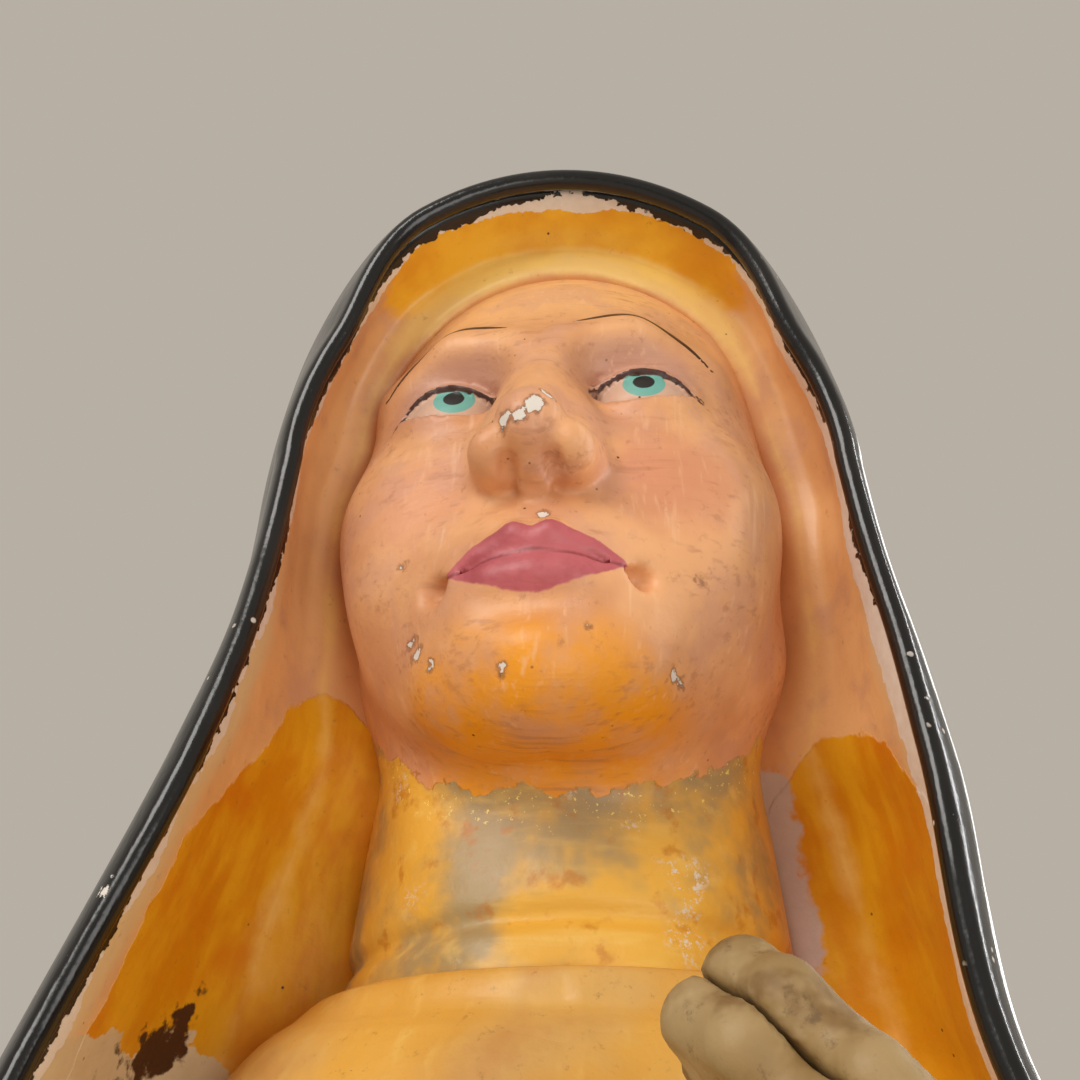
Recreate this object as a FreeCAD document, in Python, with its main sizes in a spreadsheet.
"""A hollow-cast plaster Madonna on a plinth, 600 mm tall, as a parametric document.

Frame: millimetres, +Z up, the floor at Z = 0. The statue faces -Y, so its left side is +X.
The figure is a robe cast in two halves, with a mantle, a head, two sleeves and two hands cast
apart and bedded onto it. A threaded rod ties the head, the body, the plinth and the base board.
"""

import FreeCAD, Part

import math
import os

import Sketcher
from FreeCAD import Placement, Rotation, Vector

doc = FreeCAD.newDocument("Madonna")
sheet = doc.addObject("Spreadsheet::Sheet", "Sizes")

# Driving dimensions, in millimetres and degrees.
SIZES = {
    "figure_offset": 8,  # the figure's axis stands this far behind the plinth's centre
    "plinth_width": 190,
    "plinth_depth": 164,
    "plinth_top": 44,
    "plinth_corner": 34,
    "plinth_bevel": 7,
    "plinth_wall": 14,
    "plinth_ledge": 12,
    "plinth_roof": 12,
    "felt_thickness": 2,
    "felt_inset": 1,
    "board_thickness": 10,
    "board_clearance": 0.5,
    "screw_radius": 2,
    "screw_head_radius": 4,
    "screw_head_height": 3,
    "screw_length": 22,
    "rod_radius": 4,
    "rod_clearance": 0.5,
    "rod_foot": 2.5,
    "rod_top": 545,
    "nut_radius": 7.5,
    "nut_height": 4,
    "washer_radius": 10,
    "washer_height": 2,
    "recess_clearance": 1,
    "robe_wall": 6,
    "mantle_wall": 5,
    "opening_depth": 5,  # the opening is cut back to this far in front of the figure's axis
    "fit_gap": 0.3,  # bedding gap between two castings
    "scrim_thickness": 1.5,
    "scrim_width": 24,
    "scrim_start": 20,  # the scrim lies at least this far to each side
    "scrim_margin": 5,  # and ends this far short of the hem and the chest
    "key_radius": 13,
    "batten_height": 12,
    "batten_depth": 12,
    "chest_batten_level": 440,
    "knee_batten_level": 210,
    "skull_width": 52,
    "skull_depth": 56,
    "skull_height": 58,
    "skull_back": 5,  # the skull's centre in front of the figure's axis
    "jaw_width": 44,
    "jaw_depth": 40,
    "jaw_height": 50,
    "jaw_drop": 20,  # the jaw's centre below the skull's
    "jaw_forward": 9,
    "neck_radius": 20.5,
    "neck_root_radius": 22,
    "neck_foot": 486,
    "head_level": 557,  # the skull's centre
    "head_tilt": 8,  # chin raised
    "head_turn": 8,  # face turned to the statue's right
    "coif_thickness": 3,
    "face_line": 12,  # the coif's edge lies this far in front of the skull's centre
    "coif_drop": 13,  # the coif's foot below the skull's centre
    "collar_width": 6,
    "collar_height": 11,
    "sleeve_radius": 18,
    "shoulder_radius": 14,
    "cuff_radius": 14,
    "cuff_wall": 3.5,
    "cuff_depth": 10,
    "cuff_setback": 9.5,  # the bare wrist between the cuff and the heel of the hand
    "hand_length": 52,
    "wrist_radius": 5.5,
    "wrist_spacing": 6,  # each wrist's centre from the plane where the palms meet
    "pin_radius": 1.25,
    "pin_length": 22,
    "thumb_length": 24,
    "thumb_radius": 3,
    "thumb_level": 24,
    "thumb_offset": 8,
    "shoe_length": 48,
    "shoe_width": 24,
    "shoe_height": 18,
    "shoe_spacing": 19,
    "shoe_toe": 14,  # how far a toe reaches in front of the robe's hem
}

# One ellipse per level: height above the floor, width across X, depth along Y, and how far its
# centre lies in front of the figure's axis.
ROBE = {
    "hem": (44, 148, 110, -3),
    "ankle": (96, 143, 105, -3.5),
    "shin": (150, 137, 99, -3.5),
    "knee": (206, 133, 95, -3.5),
    "thigh": (262, 132, 92, -4),
    "hip": (316, 134, 91, -5),
    "waist": (370, 132, 86, -8),
    "rib": (415, 130, 84, -8),
    "chest": (450, 112, 78, -4),
    "shoulder": (474, 92, 64, 0),
    "root": (492, 66, 60, 0),
}
MANTLE = {
    "hem": (44, 166, 134, 0),
    "ankle": (100, 159, 128, 0),
    "shin": (156, 153, 122, 0),
    "knee": (212, 149, 118, 0),
    "thigh": (268, 149, 117, 0),
    "hip": (324, 152, 118, 0),
    "elbow": (380, 156, 118, 0),
    "rib": (425, 150, 114, 0),
    "chest": (460, 127, 106, 0),
    "shoulder": (490, 102, 97, 0),
    "nape": (513, 90, 89, 2),
    "jaw": (536, 83, 83, 2),
    "cheek": (556, 79, 79, 3),
    "brow": (573, 72, 72, 5),
    "crown": (587, 59, 59, 8),
    "vault": (596, 38, 38, 9),
    "top": (600, 16, 16, 9),
}
# Half the width of the mantle's front opening at each height, from its peak to the hem.
OPENING = {
    "peak": (586, 0),
    "crown": (577, 19),
    "brow": (558, 29.5),
    "cheek": (536, 33),
    "jaw": (512, 36),
    "shoulder": (487, 39),
    "arm": (442, 55),
    "elbow": (395, 60),
    "hip": (335, 44),
    "knee": (200, 40),
    "foot": (30, 46),
}
# A hand's ellipses from wrist to fingertip: share of its length, breadth and thickness.
HAND = {
    "wrist": (0, 12, 11),
    "palm": (0.3, 19, 9),
    "knuckle": (0.55, 19, 8),
    "finger": (0.8, 15, 6),
    "tip": (1, 8, 4),
}
# Where the fingertips meet, which way the joined hands point, and the bends of each arm.
FINGERTIPS = Vector(7.5, -60, 487)
HANDS_POINT = Vector(-0.66, -0.22, 0.72)
ELBOWS = {"left": Vector(41, -14, 378), "right": Vector(-38, -32, 390)}
SHOULDERS = {"left": Vector(39, 4, 462), "right": Vector(-39, 4, 462)}

INSET_OF_CORNER = 2 - math.sqrt(2)  # a cut corner's leg shortens by this share of an inset
ROUGH_CORNER = 0.6  # where a cut corner starts before the sketch is constrained, as a share
EDGE_TOLERANCE = 0.01


def fill_sheet():
    """One row per driving dimension; each cell's alias is its name."""
    cells = dict(SIZES)
    for family, rings in (("robe", ROBE), ("mantle", MANTLE)):
        for level, measures in rings.items():
            for measure, value in zip(("level", "width", "depth", "forward"), measures):
                cells[f"{family}_{level}_{measure}"] = value
    for level, (height, half) in OPENING.items():
        cells[f"opening_{level}_level"] = height
        cells[f"opening_{level}_half"] = half
    for level, (share, breadth, thickness) in HAND.items():
        cells[f"hand_{level}_share"] = share
        cells[f"hand_{level}_breadth"] = breadth
        cells[f"hand_{level}_thickness"] = thickness
    for row, (alias, value) in enumerate(cells.items(), start=1):
        sheet.set(f"A{row}", alias)
        sheet.set(f"B{row}", str(value))
        sheet.setAlias(f"B{row}", alias)
    doc.recompute()


def size(alias):
    """A driving dimension as a number."""
    return float(sheet.get(alias))


def bind(item, **expressions):
    """Ties properties to the sheet; x, y and z stand for the Placement's base."""
    for name, expression in expressions.items():
        path = f"Placement.Base.{name}" if name in ("x", "y", "z") else name
        item.setExpression(path, expression)
    return item


def add(kind, name, **expressions):
    """A new object with its properties tied to the sheet."""
    return bind(doc.addObject(kind, name), **expressions)


def cut(name, base, *tools):
    """base with every tool taken away, one cut after another."""
    for number, tool in enumerate(tools, start=1):
        step = doc.addObject("Part::Cut", name if number == len(tools) else f"{name}_cut{number}")
        step.Base = base
        step.Tool = tool
        base = step
    return base


def common(name, base, tool):
    """What base and tool share."""
    item = doc.addObject("Part::Common", name)
    item.Base = base
    item.Tool = tool
    return item


def fuse(name, *shapes):
    """Every shape in one; shapes that don't touch stay separate solids."""
    item = doc.addObject("Part::MultiFuse", name)
    item.Shapes = list(shapes)
    return item


def ring_loft(name, family, levels, shrink="0"):
    """A solid through the family's ellipses, each drawn in by shrink all round."""
    rings = [
        add(
            "Part::Ellipse",
            f"{name}_{level}",
            MajorRadius=f"Sizes.{family}_{level}_width / 2 - {shrink}",
            MinorRadius=f"Sizes.{family}_{level}_depth / 2 - {shrink}",
            y=f"Sizes.figure_offset - Sizes.{family}_{level}_forward",
            z=f"Sizes.{family}_{level}_level",
        )
        for level in levels
    ]
    loft = doc.addObject("Part::Loft", name)
    loft.Sections = rings
    loft.Solid = True
    return loft


def slab(name, width, depth, height, x="0", y="0", z="0"):
    """A box centred on x and y, standing on z."""
    return add(
        "Part::Box",
        name,
        Length=width,
        Width=depth,
        Height=height,
        x=f"{x} - ({width}) / 2",
        y=f"{y} - ({depth}) / 2",
        z=z,
    )


def rod(name, radius, height, x="0", y="Sizes.figure_offset", z="0"):
    """An upright cylinder, on the figure's axis unless x and y say otherwise."""
    return add("Part::Cylinder", name, Radius=radius, Height=height, x=x, y=y, z=z)


def ellipsoid(name, width, depth, height, **place):
    """An ellipsoid by its full width, depth and height."""
    return add(
        "Part::Ellipsoid",
        name,
        Radius1=f"({height}) / 2",
        Radius2=f"({width}) / 2",
        Radius3=f"({depth}) / 2",
        **place,
    )


def feature(name, shape):
    """A plain shape, for a form that no parametric feature makes."""
    item = doc.addObject("Part::Feature", name)
    item.Shape = shape
    return item


# ---------------------------------------------------------------- plinth and base


def octagon_sketch(body, name, inset, level):
    """The plinth's outline, a rectangle with its corners cut, drawn in by inset."""
    sketch = body.newObject("Sketcher::SketchObject", name)
    plane = next(f for f in body.Origin.OriginFeatures if f.Role == "XY_Plane")
    sketch.AttachmentSupport = (plane, "")
    sketch.MapMode = "FlatFace"
    sketch.setExpression("AttachmentOffset.Base.z", level)
    half_x = f"(Sizes.plinth_width / 2 - {inset})"
    half_y = f"(Sizes.plinth_depth / 2 - {inset})"
    leg = f"(Sizes.plinth_corner - {INSET_OF_CORNER} * {inset})"
    short_x = f"({half_x} - {leg})"
    short_y = f"({half_y} - {leg})"
    quarters = ((1, 1), (-1, 1), (-1, -1), (1, -1))
    corners = []
    for turn, (along_x, along_y) in enumerate(quarters):
        sides = [(half_x, short_y), (short_x, half_y)]
        for x, y in sides if turn % 2 == 0 else reversed(sides):
            corners.append((along_x, x, along_y, y))
    nominal_x = size("plinth_width") / 2
    nominal_y = size("plinth_depth") / 2
    nominal = [
        Vector(
            sign_x * nominal_x * (1 if x == half_x else ROUGH_CORNER),
            sign_y * nominal_y * (1 if y == half_y else ROUGH_CORNER),
        )
        for sign_x, x, sign_y, y in corners
    ]
    count = len(corners)
    for edge in range(count):
        sketch.addGeometry(Part.LineSegment(nominal[edge], nominal[(edge + 1) % count]))
    for edge in range(count):
        sketch.addConstraint(Sketcher.Constraint("Coincident", edge, 2, (edge + 1) % count, 1))
    for edge, (sign_x, x, sign_y, y) in enumerate(corners):
        for kind, sign, expression, start in (
            ("DistanceX", sign_x, x, nominal[edge].x),
            ("DistanceY", sign_y, y, nominal[edge].y),
        ):
            index = sketch.addConstraint(Sketcher.Constraint(kind, -1, 1, edge, 1, start))
            sketch.setExpression(f"Constraints[{index}]", f"{sign} * {expression}")
    return sketch


def pad(body, name, sketch, length):
    """Raises the sketch's outline upwards."""
    item = body.newObject("PartDesign::Pad", name)
    item.Profile = sketch
    item.setExpression("Length", length)
    return item


def pocket(body, name, sketch, depth):
    """Cuts upwards from the sketch."""
    item = body.newObject("PartDesign::Pocket", name)
    item.Profile = sketch
    item.Reversed = True
    item.setExpression("Length", depth)
    return item


def screw_places():
    """The four base screws, on the ledge behind each cut corner."""
    inset = "(Sizes.plinth_wall + Sizes.plinth_ledge / 2)"
    across = f"(Sizes.plinth_width / 2 - {inset} - Sizes.plinth_corner / 2)"
    along = f"(Sizes.plinth_depth / 2 - {inset})"
    return [(f"{sx} * {across}", f"{sy} * {along}") for sx in (1, -1) for sy in (1, -1)]


def make_screws():
    """Countersunk wood screws, heads flush with the board's underside."""
    screws = []
    for number, (x, y) in enumerate(screw_places(), start=1):
        head = add(
            "Part::Cone",
            f"screw_head_{number}",
            Radius1="Sizes.screw_head_radius",
            Radius2="Sizes.screw_radius",
            Height="Sizes.screw_head_height",
            x=x,
            y=y,
            z="Sizes.felt_thickness",
        )
        shank = rod(
            f"screw_shank_{number}",
            "Sizes.screw_radius",
            "Sizes.screw_length - Sizes.screw_head_height",
            x,
            y,
            "Sizes.felt_thickness + Sizes.screw_head_height",
        )
        screws.append(fuse(f"screw_{number}", head, shank))
    return fuse("board_screws", *screws)


def make_plinth(screws, rod_hole):
    """An octagonal casting, bevelled above, hollow below, with a ledge for the board."""
    body = doc.addObject("PartDesign::Body", "plinth_body")
    outline = octagon_sketch(body, "plinth_outline", "0", "Sizes.felt_thickness")
    block = pad(body, "plinth_block", outline, "Sizes.plinth_top - Sizes.felt_thickness")
    doc.recompute()
    top_edges = [
        f"Edge{number}"
        for number, edge in enumerate(block.Shape.Edges, start=1)
        if edge.BoundBox.ZMin > size("plinth_top") - EDGE_TOLERANCE
    ]
    bevel = body.newObject("PartDesign::Chamfer", "plinth_bevel_edges")
    bevel.Base = (block, top_edges)
    bevel.setExpression("Size", "Sizes.plinth_bevel")
    seat = octagon_sketch(body, "board_seat_outline", "Sizes.plinth_wall", "Sizes.felt_thickness")
    pocket(body, "board_seat", seat, "Sizes.board_thickness")
    inset = "(Sizes.plinth_wall + Sizes.plinth_ledge)"
    hollow = octagon_sketch(body, "hollow_outline", inset, "Sizes.felt_thickness")
    pocket(body, "hollow", hollow, "Sizes.plinth_top - Sizes.felt_thickness - Sizes.plinth_roof")
    return cut("plinth_casting", body, screws, rod_hole)


def make_board(screws, rod_hole):
    """The wooden board that closes the plinth, with a recess below for the rod's nut."""
    body = doc.addObject("PartDesign::Body", "board_body")
    inset = "(Sizes.plinth_wall + Sizes.board_clearance)"
    outline = octagon_sketch(body, "board_outline", inset, "Sizes.felt_thickness")
    pad(body, "board_block", outline, "Sizes.board_thickness")
    recess = rod(
        "nut_recess",
        "Sizes.washer_radius + Sizes.recess_clearance",
        "Sizes.nut_height + Sizes.washer_height",
        z="Sizes.felt_thickness",
    )
    return cut("base_board", body, screws, rod_hole, recess)


def make_felt():
    """The felt under the plinth, drawn in a little from its edge."""
    body = doc.addObject("PartDesign::Body", "felt_base")
    outline = octagon_sketch(body, "felt_outline", "Sizes.felt_inset", "0")
    pad(body, "felt_sheet", outline, "Sizes.felt_thickness")
    return body


# ---------------------------------------------------------------- armature


def make_rod_hardware():
    """A threaded rod with a nut and washer under the board and above the plinth."""
    core = rod("armature_rod", "Sizes.rod_radius", "Sizes.rod_top - Sizes.rod_foot", z="Sizes.rod_foot")
    foot = "Sizes.felt_thickness"
    bore = rod("rod_bore", "Sizes.rod_radius", "Sizes.rod_top")
    nut_levels = (foot, "Sizes.plinth_top + Sizes.washer_height")
    washer_levels = (f"{foot} + Sizes.nut_height", "Sizes.plinth_top")
    nuts = []
    washers = []
    for number, (nut_level, washer_level) in enumerate(zip(nut_levels, washer_levels), start=1):
        hexagon = add(
            "Part::Prism",
            f"nut_blank_{number}",
            Circumradius="Sizes.nut_radius",
            Height="Sizes.nut_height",
            y="Sizes.figure_offset",
            z=nut_level,
        )
        nuts.append(cut(f"nut_{number}", hexagon, bore))
        disc = rod(f"washer_disc_{number}", "Sizes.washer_radius", "Sizes.washer_height", z=washer_level)
        washers.append(cut(f"washer_{number}", disc, bore))
    return core, fuse("rod_nuts", *nuts), fuse("rod_washers", *washers)


def make_battens(cavity, rod_hole):
    """Two wooden battens across the hollow figure, trimmed to its walls."""
    battens = []
    for name in ("chest", "knee"):
        bar = slab(
            f"{name}_bar",
            "Sizes.robe_hem_width",
            "Sizes.batten_depth",
            "Sizes.batten_height",
            y="Sizes.figure_offset",
            z=f"Sizes.{name}_batten_level",
        )
        battens.append(cut(f"{name}_batten", common(f"{name}_fitted", bar, cavity), rod_hole))
    return fuse("armature_battens", *battens)


# ---------------------------------------------------------------- robe and mantle


def make_robe(seam_strips):
    """The hollow robe, split into a front and a back casting at the side seams."""
    outer = ring_loft("robe_outer", "robe", ROBE)
    inner = ring_loft("robe_cavity", "robe", ROBE, "Sizes.robe_wall")
    shell = cut("robe_shell", outer, inner)
    halves = []
    for name, side in (("robe_front_casting", -1), ("robe_back_casting", 1)):
        half = slab(
            f"{name}_half",
            "2 * Sizes.robe_hem_width",
            "Sizes.robe_hem_depth",
            "Sizes.mantle_top_level",
            y=f"Sizes.figure_offset + {side} * (Sizes.robe_hem_depth / 2 + Sizes.fit_gap / 2)",
        )
        halves.append(common(name, shell, half))
    inside = ring_loft("scrim_inside", "robe", ROBE, "(Sizes.robe_wall + Sizes.scrim_thickness)")
    lining = cut("scrim_lining", inner, inside)
    strips = common("seam_scrim", lining, seam_strips)
    return outer, inside, halves, strips


def make_seam_zone():
    """The two places inside the robe that the side seams' scrim covers."""
    width = "Sizes.robe_hem_width / 2"
    zones = [
        slab(
            f"seam_zone_{number}",
            width,
            "Sizes.scrim_width",
            "Sizes.robe_chest_level - Sizes.robe_hem_level - 2 * Sizes.scrim_margin",
            x=f"{side} * (Sizes.scrim_start + {width} / 2)",
            y="Sizes.figure_offset",
            z="Sizes.robe_hem_level + Sizes.scrim_margin",
        )
        for number, side in enumerate((-1, 1), start=1)
    ]
    return fuse("seam_zones", *zones)


def opening_prism():
    """The mantle's front opening: a curved outline pushed back to the figure's axis."""
    front = -size("plinth_depth")
    points = [
        Vector(size(f"opening_{level}_half"), front, size(f"opening_{level}_level")) for level in OPENING
    ]
    mirrored = [Vector(-point.x, point.y, point.z) for point in reversed(points)]
    arch = Part.BSplineCurve()
    arch.interpolate(mirrored + points[1:])
    sill = Part.LineSegment(points[-1], mirrored[0])
    face = Part.Face(Part.Wire([arch.toShape(), sill.toShape()]))
    reach = size("figure_offset") - size("opening_depth") - front
    return feature("mantle_opening", face.extrude(Vector(0, reach, 0)))


def make_mantle(robe_outer):
    """The mantle from crown to hem, open in front, and the plaster keys that hold it."""
    outer = ring_loft("mantle_outer", "mantle", MANTLE)
    inner_levels = [level for level in MANTLE if level != "top"]
    hollow = ring_loft("mantle_hollow", "mantle", inner_levels, "Sizes.mantle_wall")
    shell = cut("mantle_shell", outer, hollow)
    casting = cut("mantle_casting", shell, opening_prism())
    gap = cut("mantle_gap", hollow, robe_outer)
    keys = []
    for number, level in enumerate(("ankle", "knee", "hip", "chest"), start=1):
        column = add(
            "Part::Cylinder",
            f"key_column_{number}",
            Radius="Sizes.key_radius",
            Height="Sizes.mantle_hem_depth",
            y="Sizes.figure_offset",
            z=f"Sizes.mantle_{level}_level",
        )
        column.Placement.Rotation = Rotation(Vector(1, 0, 0), -90)
        keys.append(common(f"key_{number}", gap, column))
    return casting, fuse("mantle_keys", *keys), hollow


# ---------------------------------------------------------------- head


def head_placement():
    """The head turned and tilted about the top of the neck."""
    pivot = Vector(0, size("figure_offset"), size("head_level") - size("skull_height") / 2)
    turn = Rotation(Vector(0, 0, 1), -size("head_turn"))
    tilt = Rotation(Vector(1, 0, 0), -size("head_tilt"))
    return Placement(Vector(), turn * tilt, pivot)


def skull_form(name, grow):
    """The skull's ellipsoid, larger by grow all round."""
    return ellipsoid(
        name,
        f"Sizes.skull_width + 2 * {grow}",
        f"Sizes.skull_depth + 2 * {grow}",
        f"Sizes.skull_height + 2 * {grow}",
        y="Sizes.figure_offset - Sizes.skull_back",
        z="Sizes.head_level",
    )


def make_head(rod_hole):
    """Skull, jaw and neck in one casting, bored for the rod; the neck plugs into the robe."""
    jaw = ellipsoid(
        "jaw",
        "Sizes.jaw_width",
        "Sizes.jaw_depth",
        "Sizes.jaw_height",
        y="Sizes.figure_offset - Sizes.skull_back - Sizes.jaw_forward",
        z="Sizes.head_level - Sizes.jaw_drop",
    )
    ball = fuse("head_ball", skull_form("skull", "0"), jaw)
    ball.Placement = head_placement()
    neck = add(
        "Part::Cone",
        "neck",
        Radius1="Sizes.neck_root_radius",
        Radius2="Sizes.neck_radius",
        Height="Sizes.head_level - Sizes.neck_foot",
        y="Sizes.figure_offset",
        z="Sizes.neck_foot",
    )
    blank = fuse("head_blank", ball, neck)
    return blank, cut("head_casting", blank, rod_hole)


def make_coif(hollow):
    """The under-veil: a plaster skin over the skull, open at the face and below."""
    outside = skull_form("coif_outside", "(Sizes.coif_thickness + Sizes.fit_gap)")
    inside = skull_form("coif_inside", "Sizes.fit_gap")
    width = "2 * Sizes.skull_width"
    skull_y = "Sizes.figure_offset - Sizes.skull_back"
    face = slab(
        "face_zone",
        width,
        "Sizes.skull_depth",
        "2 * Sizes.skull_height",
        y=f"({skull_y} - Sizes.face_line - Sizes.skull_depth / 2)",
        z="Sizes.head_level - Sizes.skull_height",
    )
    foot = slab(
        "coif_foot_zone",
        width,
        "2 * Sizes.skull_depth",
        "Sizes.skull_height",
        y=f"({skull_y})",
        z="Sizes.head_level - Sizes.coif_drop - Sizes.skull_height",
    )
    cap = cut("coif_cap", outside, inside, face, foot)
    cap.Placement = head_placement()
    return common("coif_casting", cap, hollow)


def make_collar(head_blank):
    """The robe's neckline, a bevelled ring on top of the robe around the neck."""
    ring = add(
        "Part::Cone",
        "collar_ring",
        Radius1="Sizes.neck_root_radius + Sizes.collar_width",
        Radius2="Sizes.neck_radius + Sizes.collar_width / 2",
        Height="Sizes.collar_height",
        y="Sizes.figure_offset",
        z="Sizes.robe_root_level",
    )
    return cut("collar_casting", ring, head_blank)


# ---------------------------------------------------------------- arms and feet


def unit(vector):
    """The vector's direction."""
    return vector / vector.Length


def aimed(start, direction):
    """A placement at start whose own Z runs along direction."""
    return Placement(start, Rotation(Vector(0, 0, 1), direction))


def hand_frame():
    """The frame of the joined hands: Z to the fingertips, Y from the right palm to the left."""
    along = unit(HANDS_POINT)
    across = unit(along.cross(Vector(0, -1, 0)))
    wrists = FINGERTIPS - along * size("hand_length")
    return Placement(wrists, Rotation(across.cross(along), across, along, "ZYX"))


def arm_line(side, sign):
    """Where an arm's wrist lies, and the direction of its forearm."""
    wrist = hand_frame().multVec(Vector(0, sign * size("wrist_spacing"), 0))
    return wrist, unit(wrist - ELBOWS[side])


def make_pin(side, sign):
    """The wire dowel that pins a wrist into its sleeve."""
    wrist, forearm = arm_line(side, sign)
    pin = add("Part::Cylinder", f"{side}_pin", Radius="Sizes.pin_radius", Height="Sizes.pin_length")
    joint = size("cuff_setback") + size("cuff_depth")
    pin.Placement = aimed(wrist - forearm * (joint + size("pin_length") / 2), forearm)
    return pin


def make_hand(side, sign, *tools):
    """One flat hand with its thumb, and a wrist that runs back into the cuff."""
    rings = []
    for level in HAND:
        ring = add(
            "Part::Ellipse",
            f"{side}_hand_{level}",
            MajorRadius=f"Sizes.hand_{level}_breadth / 2",
            MinorRadius=f"Sizes.hand_{level}_thickness / 2",
            y=f"{sign} * (Sizes.hand_{level}_thickness + Sizes.fit_gap) / 2",
            z=f"Sizes.hand_{level}_share * Sizes.hand_length",
        )
        rings.append(ring)
    palm = doc.addObject("Part::Loft", f"{side}_palm")
    palm.Sections = rings
    palm.Solid = True
    thumb = ellipsoid(
        f"{side}_thumb",
        "2 * Sizes.thumb_radius",
        "2 * Sizes.thumb_radius",
        "Sizes.thumb_length",
        x="-Sizes.thumb_offset",
        y=f"{sign} * (Sizes.thumb_radius + Sizes.fit_gap / 2)",
        z="Sizes.thumb_level",
    )
    heel = add(
        "Part::Sphere",
        f"{side}_hand_heel",
        Radius="Sizes.wrist_radius",
        y=f"{sign} * Sizes.wrist_spacing",
    )
    form = fuse(f"{side}_hand_form", palm, thumb, heel)
    form.Placement = hand_frame()
    wrist, forearm = arm_line(side, sign)
    reach = "Sizes.cuff_setback + Sizes.cuff_depth - Sizes.fit_gap"
    stub = add("Part::Cylinder", f"{side}_wrist", Radius="Sizes.wrist_radius", Height=reach)
    stub.Placement = aimed(wrist, -forearm)
    return cut(f"hand_{side}", fuse(f"{side}_hand_blank", form, stub), *tools)


def limb(name, start, end, start_radius, end_radius):
    """A cone from one point to another; its radii are names on the sheet."""
    item = add("Part::Cone", name, Radius1=f"Sizes.{start_radius}", Radius2=f"Sizes.{end_radius}")
    item.Height = (end - start).Length
    item.Placement = aimed(start, unit(end - start))
    return item


def ball_at(name, centre, radius):
    """A sphere at a point; its radius is a name on the sheet."""
    item = add("Part::Sphere", name, Radius=f"Sizes.{radius}")
    item.Placement.Base = centre
    return item


def make_sleeve(side, sign, *tools):
    """A sleeve from shoulder to cuff, round at the bends, with a blind cuff for the wrist."""
    wrist, forearm = arm_line(side, sign)
    elbow = ELBOWS[side]
    shoulder = SHOULDERS[side]
    cuff = wrist - forearm * size("cuff_setback")
    tube = fuse(
        f"{side}_sleeve_blank",
        limb(f"{side}_forearm", elbow, cuff, "sleeve_radius", "cuff_radius"),
        ball_at(f"{side}_elbow", elbow, "sleeve_radius"),
        limb(f"{side}_upper_arm", elbow, shoulder, "sleeve_radius", "shoulder_radius"),
        ball_at(f"{side}_shoulder", shoulder, "shoulder_radius"),
    )
    mouth = add(
        "Part::Cylinder",
        f"{side}_cuff_mouth",
        Radius="Sizes.cuff_radius - Sizes.cuff_wall",
        Height="Sizes.cuff_depth",
    )
    mouth.Placement = aimed(cuff, -forearm)
    return cut(f"sleeve_{side}", tube, mouth, *tools)


def make_shoe(side, sign, robe_outer):
    """The toe of a shoe, looking out from under the hem."""
    hem_front = "Sizes.figure_offset - Sizes.robe_hem_forward - Sizes.robe_hem_depth / 2"
    last = ellipsoid(
        f"{side}_last",
        "Sizes.shoe_width",
        "Sizes.shoe_length",
        "2 * Sizes.shoe_height",
        x=f"{sign} * Sizes.shoe_spacing",
        y=f"{hem_front} + Sizes.shoe_length / 2 - Sizes.shoe_toe",
        z="Sizes.plinth_top",
    )
    ground = slab(
        f"{side}_ground",
        "Sizes.plinth_width",
        "Sizes.plinth_depth",
        "Sizes.plinth_top",
    )
    return cut(f"shoe_{side}", last, ground, robe_outer)


# ---------------------------------------------------------------- the assembly


def build():
    """Every sub-part of the statue."""
    fill_sheet()
    rod_hole = rod(
        "rod_hole", "Sizes.rod_radius + Sizes.rod_clearance", "Sizes.rod_top + Sizes.rod_clearance"
    )
    screws = make_screws()
    parts = [make_felt(), make_board(screws, rod_hole), screws, make_plinth(screws, rod_hole)]
    robe_outer, cavity, halves, strips = make_robe(make_seam_zone())
    head_blank, head = make_head(rod_hole)
    signs = {"left": 1, "right": -1}
    pins = {side: make_pin(side, sign) for side, sign in signs.items()}
    hand_left = make_hand("left", 1, pins["left"])
    hand_right = make_hand("right", -1, pins["right"], hand_left)
    hands = [hand_left, hand_right]
    sleeve_left = make_sleeve("left", 1, robe_outer, pins["left"], *hands)
    sleeve_right = make_sleeve("right", -1, robe_outer, pins["right"], *hands, sleeve_left)
    sleeves = [sleeve_left, sleeve_right]
    mantle, keys, hollow = make_mantle(robe_outer)
    parts += halves + [strips, mantle, keys, head, make_coif(hollow), make_collar(head_blank)]
    parts += sleeves + hands + [fuse("hand_pins", *pins.values())]
    parts += [make_shoe(side, sign, robe_outer) for side, sign in signs.items()]
    parts += list(make_rod_hardware()) + [make_battens(cavity, rod_hole)]
    return parts


def export(parts):
    """Checks the whole document, then writes each sub-part to its own file."""
    doc.recompute()
    for item in doc.Objects:
        if "Invalid" in item.State or "Error" in item.State:
            raise RuntimeError(f"{item.Name} failed: {item.State}")
    os.makedirs("parts", exist_ok=True)
    for item in parts:
        shape = item.Shape
        if shape.isNull() or not shape.isValid() or not shape.Solids:
            raise RuntimeError(f"{item.Name} has no valid solid")
        item.Label = item.Name
        shape.exportStep(f"parts/{item.Label}.step")
        box = shape.BoundBox
        print(
            f"{item.Label:22s} solids {len(shape.Solids)}  volume {shape.Volume / 1000:8.2f} cm3  "
            f"x {box.XMin:.1f}..{box.XMax:.1f}  y {box.YMin:.1f}..{box.YMax:.1f}  "
            f"z {box.ZMin:.1f}..{box.ZMax:.1f}"
        )


export(build())
